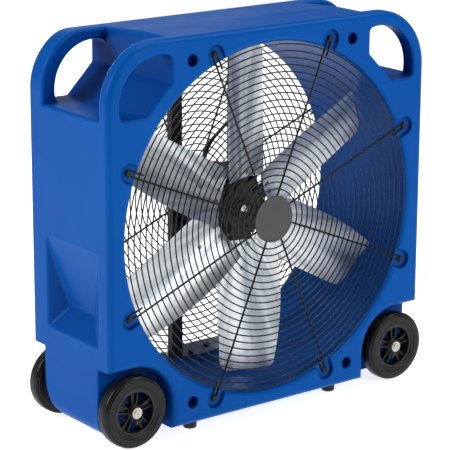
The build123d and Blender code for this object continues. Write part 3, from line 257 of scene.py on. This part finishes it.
def solid_rubber(name, color):
    """Solid rubber: dull, dusty in places, with fine moulded lines and grain."""
    finish = Finish(name, color, roughness=0.62)
    finish.set("Specular IOR Level", 0.24)
    dusty = tuple(c + 0.003 for c in color)
    finish.colours(finish.noise(46.0, detail=6.0, roughness=0.7), (0.42, color), (0.8, dusty))
    finish.gloss(finish.noise(90.0), smooth=0.26, rough=0.4)
    moulding = finish.polar(around=3.0, along=420.0, depth=160.0)
    finish.bump(finish.noise(5.0, detail=2.0, place=moulding), distance=0.00005, strength=0.6)
    finish.bump(finish.noise(1500.0, detail=2.0), distance=0.00004, strength=0.6)
    return finish.material


def badge_metal():
    """The blank badge: satin grey paint over a spun disc."""
    dark, light = (0.040, 0.040, 0.044), (0.055, 0.055, 0.060)
    finish = Finish("badge_grey", (0.058, 0.058, 0.063), roughness=0.45, metallic=0.25)
    turning = finish.polar(around=0.5, along=1500.0, depth=40.0)
    spun = finish.noise(3.0, roughness=0.6, place=turning)
    finish.colours(spun, (0.3, dark), (0.7, light))
    finish.gloss(finish.noise(70.0), smooth=0.36, rough=0.52)
    finish.bump(spun, distance=0.00003, strength=0.5)
    finish.bump(finish.noise(700.0, detail=2.0), distance=0.00003, strength=0.5)
    return finish.material


BLACK = (0.011, 0.011, 0.012)
MATERIALS = {
    "housing_blue": moulded_blue(),
    "guard_black": coated_black("guard_black", (0.004, 0.004, 0.004), 0.2, 0.34, 900.0),
    "badge_grey": badge_metal(),
    "fastener_black": coated_black("fastener_black", BLACK, 0.3, 0.46, 1200.0),
    "zinc_steel": galvanised(),
    "blade_metal": rolled_aluminium(),
    "rivet_metal": turned_steel("rivet_metal", (0.27, 0.28, 0.29), 0.24, 0.36),
    "hub_black": coated_black("hub_black", (0.013, 0.013, 0.014), 0.3, 0.48, 700.0),
    "bright_steel": turned_steel("bright_steel", (0.72, 0.72, 0.72), 0.16, 0.3),
    "core_steel": turned_steel("core_steel", (0.30, 0.30, 0.31), 0.4, 0.6),
    "carrier_black": coated_black("carrier_black", (0.010, 0.010, 0.011), 0.34, 0.52, 800.0),
    "cap_chrome": turned_steel("cap_chrome", (0.50, 0.475, 0.41), 0.22, 0.36),
    "cable_black": coated_black("cable_black", (0.012, 0.012, 0.012), 0.42, 0.6, 1500.0),
    "switch_black": coated_black("switch_black", (0.014, 0.014, 0.015), 0.34, 0.52, 1100.0),
    "switch_plate_grey": turned_steel("switch_plate_grey", (0.42, 0.43, 0.44), 0.34, 0.5),
    "rim_black": coated_black("rim_black", (0.006, 0.006, 0.006), 0.24, 0.4, 900.0),
    "tyre_rubber": solid_rubber("tyre_rubber", (0.0035, 0.0035, 0.0038)),
    "foot_rubber": solid_rubber("foot_rubber", (0.014, 0.014, 0.014)),
}

for name, part in PARTS.items():
    NODES[name].data.materials.clear()
    NODES[name].data.materials.append(MATERIALS[part["material_slot"]])


# ---------------------------------------------------------------- pieces made here
def piece(name, mesh, body, slot, stands_for=(), sharp_deg=38):
    """A finished piece: smooth but for its sharp edges, riding on a body, in a material slot."""
    mesh.shade_smooth()
    mesh.set_sharp_from_angle(angle=radians(sharp_deg))
    made = bpy.data.objects.new(name, mesh)
    bpy.context.scene.collection.objects.link(made)
    mesh.materials.append(MATERIALS[slot])
    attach(made, body)
    if stands_for:
        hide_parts(*stands_for)
    return made


def mesh_of(name, shape):
    bmesh.ops.recalc_face_normals(shape, faces=shape.faces)
    mesh = bpy.data.meshes.new(name)
    shape.to_mesh(mesh)
    shape.free()
    return mesh


def rounded(corners, steps=4):
    """Closed outline through corners of (radius, y, blend) in millimetres, each turned by a curve."""
    outline = []
    for k, (radius, y, blend) in enumerate(corners):
        here = Vector((radius, y))
        before = Vector(corners[k - 1][:2])
        after = Vector(corners[(k + 1) % len(corners)][:2])
        start = here + (before - here).normalized() * blend
        end = here + (after - here).normalized() * blend
        turns = [m / steps for m in range(steps + 1)] if blend else [0.0]
        outline += [start.lerp(here, t).lerp(here.lerp(end, t), t) for t in turns]
    return outline


def both_sides(half):
    """Corners of the outer side, and their mirror image back again."""
    return half + [(radius, -y, blend) for radius, y, blend in reversed(half)]


def lathe(shape, corners, centre, segments=128):
    """Turns a closed outline about an axis along Y through centre."""
    outline = rounded(corners)
    rings = []
    for k in range(segments):
        c, s = cos(tau * k / segments), sin(tau * k / segments)
        spots = [centre + Vector((r * c, y, r * s)) / 1000 for r, y in outline]
        rings.append([shape.verts.new(spot) for spot in spots])
    for k, ring in enumerate(rings):
        after = rings[(k + 1) % segments]
        for m in range(len(ring)):
            shape.faces.new((ring[m - 1], ring[m], after[m], after[m - 1]))


# wheels: outlines in millimetres from the wheel's middle, then five spokes of a web and two ribs
TYRE = both_sides([
    (45.5, -8.5, 0), (45.5, -13.2, 0.8), (47.5, -12.7, 0.5), (48.6, -14.0, 1.0), (58.9, -13.9, 1.4),
    (60.2, -11.9, 0.6), (61.6, -12.9, 0.8), (65.3, -9.5, 2.4), (65.4, -6.5, 0.3), (64.7, -6.1, 0.2),
    (64.7, -5.4, 0.2), (65.5, -5.0, 0.3),
])
RIM_BAND = both_sides([
    (45.45, -8.0, 0), (45.45, -12.9, 0.8), (42.8, -12.9, 0.8), (41.7, -10.9, 0.8), (37.0, -10.9, 1.2),
    (37.0, -5.0, 0),
])
HUB = both_sides([
    (6.45, -9.0, 0), (6.45, -11.9, 0.5), (12.2, -11.9, 1.0), (13.4, -8.6, 1.0), (15.0, -7.6, 1.0),
    (15.0, -5.0, 0),
])
SPOKES = 5
SPOKE_START, SPOKE_END = 11.0, 39.0
WEB_AT_HUB, WEB_AT_BAND, WEB_DEPTH = 3.6, 7.4, 1.8       # half widths and half depth
RIB_WIDTH, RIB_DEPTH = 2.4, 6.8


def prism(shape, corners, y, half_depth):
    """Prism along Y on corners of (x, z), in metres."""
    front = [shape.verts.new((x, y - half_depth, z)) for x, z in corners]
    rear = [shape.verts.new((x, y + half_depth, z)) for x, z in corners]
    shape.faces.new(front)
    shape.faces.new(list(reversed(rear)))
    for k in range(len(corners)):
        shape.faces.new((front[k - 1], front[k], rear[k], rear[k - 1]))


def rim_spoke(shape, centre, angle):
    """One spoke: a thin web with a rib along each edge, splayed towards the band."""
    along = Vector((cos(angle), sin(angle)))
    across = Vector((-sin(angle), cos(angle)))
    middle = Vector((centre.x, centre.z))

    def bar(low_hub, low_band, high_hub, high_band, half_depth):
        ends = [
            (SPOKE_START, low_hub), (SPOKE_END, low_band), (SPOKE_END, high_band), (SPOKE_START, high_hub)
        ]
        corners = [middle + (along * run + across * offset) / 1000 for run, offset in ends]
        prism(shape, corners, centre.y, half_depth / 1000)

    bar(-WEB_AT_HUB, -WEB_AT_BAND, WEB_AT_HUB, WEB_AT_BAND, WEB_DEPTH)
    for side in (-1, 1):
        hub, band, half = side * WEB_AT_HUB, side * WEB_AT_BAND, RIB_WIDTH / 2
        bar(hub - half, band - half, hub + half, band + half, RIB_DEPTH)


def soften(made, width, angle_deg=50):
    """Small bevels on a piece's sharp edges."""
    edge = made.modifiers.new("soft_edges", "BEVEL")
    edge.width = width
    edge.segments = 2
    edge.limit_method = "ANGLE"
    edge.angle_limit = radians(angle_deg)


def wheel(corner):
    """One wheel's tyre and rim, standing for its two CAD nodes."""
    low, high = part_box("tyre_" + corner)
    centre = (low + high) / 2
    shape = bmesh.new()
    lathe(shape, TYRE, centre)
    mesh = mesh_of("tyre_tread", shape)
    piece("tyre_tread_" + corner, mesh, "wheel_" + corner, "tyre_rubber", ["tyre_" + corner])
    shape = bmesh.new()
    lathe(shape, RIM_BAND, centre)
    lathe(shape, HUB, centre, segments=64)
    for k in range(SPOKES):
        rim_spoke(shape, centre, radians(90 + 360 / SPOKES * k))
    mesh = mesh_of("wheel_rim", shape)
    rim = piece("wheel_rim_" + corner, mesh, "wheel_" + corner, "rim_black", ["rim_" + corner])
    soften(rim, width=0.0005)


for corner in ("front_right", "rear_right", "front_left", "rear_left"):
    wheel(corner)

# blank badge and rear disc: a shallow dome with a rolled edge
DISC = [
    (0.05, -2.7, 0), (20.0, -2.5, 6.0), (38.8, -1.75, 0.8), (40.2, -2.5, 0.9), (42.5, -2.0, 0.9),
    (42.5, 0.0, 0.6), (0.05, 0.0, 0),
]
for name, node, side in (("badge_dome", "front_badge", 1), ("rear_dome", "rear_guard_disc", -1)):
    low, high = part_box(node)
    back = Vector((0, high.y if side > 0 else low.y, AXIS.z))
    shape = bmesh.new()
    lathe(shape, [(radius, side * y, blend) for radius, y, blend in DISC], back, segments=96)
    piece(name, mesh_of(name, shape), "housing", PARTS[node]["material_slot"], [node])

for node in ("motor_plate", "strut_left", "strut_right", "lower_cross_plate", "upper_cross_plate"):
    soften(NODES[node], width=0.0004, angle_deg=60)


# welds where each guard ring crosses a spoke: rings and spoke offsets in millimetres, the plane in metres
SEAT_RING_R, BADGE_R, RING_PITCH = 34.0, 42.5, 12.37
FRONT_RINGS, REAR_RINGS = 22, 21
GUARD_SPOKES, SPOKE_OFFSET = 8, 4.5
WELD_Y = 0.1196
BEAD = (2.3, 1.15, 1.9)                                  # half sizes along, through and across the wire


def weld_beads(name, ring_count, side):
    """A flattened bead at each crossing of one guard: side is -1 for the front and 1 for the rear."""
    shape = bmesh.new()
    for radius in [SEAT_RING_R] + [BADGE_R + RING_PITCH * k for k in range(1, ring_count + 1)]:
        for k in range(GUARD_SPOKES):
            angle = radians(360 / GUARD_SPOKES * (k + 0.5))
            along, across = Vector((cos(angle), 0, sin(angle))), Vector((-sin(angle), 0, cos(angle)))
            spot = along * sqrt(radius ** 2 - SPOKE_OFFSET ** 2) + across * SPOKE_OFFSET
            place = Matrix.Translation(spot / 1000 + Vector((0, side * WELD_Y, AXIS.z)))
            turn = Matrix.Rotation(-angle, 4, "Y") @ Matrix.Diagonal((*BEAD, 1.0))
            bmesh.ops.create_icosphere(shape, subdivisions=1, radius=0.001, matrix=place @ turn)
    piece(name, mesh_of(name, shape), "housing", "guard_black", sharp_deg=80)


weld_beads("front_weld_beads", FRONT_RINGS, side=-1)
weld_beads("rear_weld_beads", REAR_RINGS, side=1)

# the motor's lead, from the can up through the drum wall and round to the switch, in metres
LEAD_RADIUS = 0.0032
LEAD = [
    (-0.026, 0.050, 0.4293), (-0.024, 0.050, 0.454), (-0.008, 0.051, 0.480), (0.023, 0.057, 0.498),
    (0.054, 0.063, 0.517), (0.069, 0.066, 0.556), (0.072, 0.066, 0.595), (0.070, 0.066, 0.633),
    (0.079, 0.066, 0.692), (0.110, 0.066, 0.697), (0.152, 0.066, 0.666), (0.205, 0.064, 0.629),
    (0.251, 0.060, 0.583), (0.292, 0.054, 0.534), (0.319, 0.046, 0.504), (0.331, 0.040, 0.474),
]
line = bpy.data.curves.new("motor_lead", "CURVE")
line.dimensions = "3D"
line.bevel_depth = LEAD_RADIUS
line.bevel_resolution = 4
line.resolution_u = 16
spline = line.splines.new("NURBS")
spline.points.add(len(LEAD) - 1)
for point, spot in zip(spline.points, LEAD):
    point.co = (*spot, 1.0)
spline.order_u = 3
spline.use_endpoint_u = True
line.materials.append(MATERIALS["cable_black"])
lead = bpy.data.objects.new("motor_lead", line)
bpy.context.scene.collection.objects.link(lead)
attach(lead, "housing")
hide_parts("motor_cable")


# ---------------------------------------------------------------- camera, floor and light
CAMERA_PLACE = (-2.2337, -2.8833, 1.3233)
CAMERA_TURN = (74.743, -0.203, -37.525)                  # degrees: tilt, roll and heading
CAMERA_LENS = 165.12

camera = bpy.data.objects.new("camera", bpy.data.cameras.new("camera"))
bpy.context.scene.collection.objects.link(camera)
camera.data.lens = CAMERA_LENS
camera.data.clip_end = 100.0
camera.location = CAMERA_PLACE
camera.rotation_euler = [radians(angle) for angle in CAMERA_TURN]
bpy.context.scene.camera = camera
bpy.context.scene.view_settings.view_transform = "Standard"


def pale_floor(half, grey, glow):
    """Square floor at z = 0 that glows a little, so that it renders as a plain pale ground."""
    corners = [(-half, -half, 0), (half, -half, 0), (half, half, 0), (-half, half, 0)]
    mesh = bpy.data.meshes.new("floor")
    mesh.from_pydata(corners, [], [(0, 1, 2, 3)])
    floor = bpy.data.objects.new("floor", mesh)
    bpy.context.scene.collection.objects.link(floor)
    paint = Finish("floor", (grey, grey, grey), roughness=0.7)
    paint.set("Specular IOR Level", 0.1)
    paint.set("Emission Color", (1.0, 1.0, 1.0, 1.0))
    paint.set("Emission Strength", glow)
    mesh.materials.append(paint.material)
    floor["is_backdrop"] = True


pale_floor(half=40.0, grey=0.72, glow=0.8)

world = bpy.data.worlds.new("studio")
world.use_nodes = True
sky = world.node_tree.nodes["Background"]
sky.inputs["Color"].default_value = (0.93, 0.96, 1.0, 1.0)
sky.inputs["Strength"].default_value = 0.2
bpy.context.scene.world = world


def softbox(name, place, aim_height, size, watts):
    """Rectangular area light at a place, aimed at a height on the Z axis."""
    light = bpy.data.lights.new(name, "AREA")
    light.shape = "RECTANGLE"
    light.size, light.size_y = size
    light.energy = watts
    lamp = bpy.data.objects.new(name, light)
    bpy.context.scene.collection.objects.link(lamp)
    lamp.location = place
    direction = Vector((0, 0, aim_height)) - Vector(place)
    lamp.rotation_euler = direction.to_track_quat("-Z", "Y").to_euler()


softbox("key_left", (-2.9, 1.3, 2.0), aim_height=0.4, size=(1.0, 1.6), watts=74)
softbox("front", (0.7, -3.5, 1.9), aim_height=0.35, size=(0.9, 1.4), watts=50)
softbox("top", (0.4, 0.1, 3.3), aim_height=0.6, size=(1.6, 1.0), watts=36)
softbox("edge_front", (1.6, -0.8, 2.6), aim_height=0.6, size=(0.5, 0.5), watts=18)
softbox("edge_rear", (1.5, 2.6, 1.5), aim_height=0.6, size=(0.9, 0.9), watts=1.0)
softbox("rear", (0.6, 3.6, 1.0), aim_height=0.35, size=(1.8, 1.2), watts=34)

low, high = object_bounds()
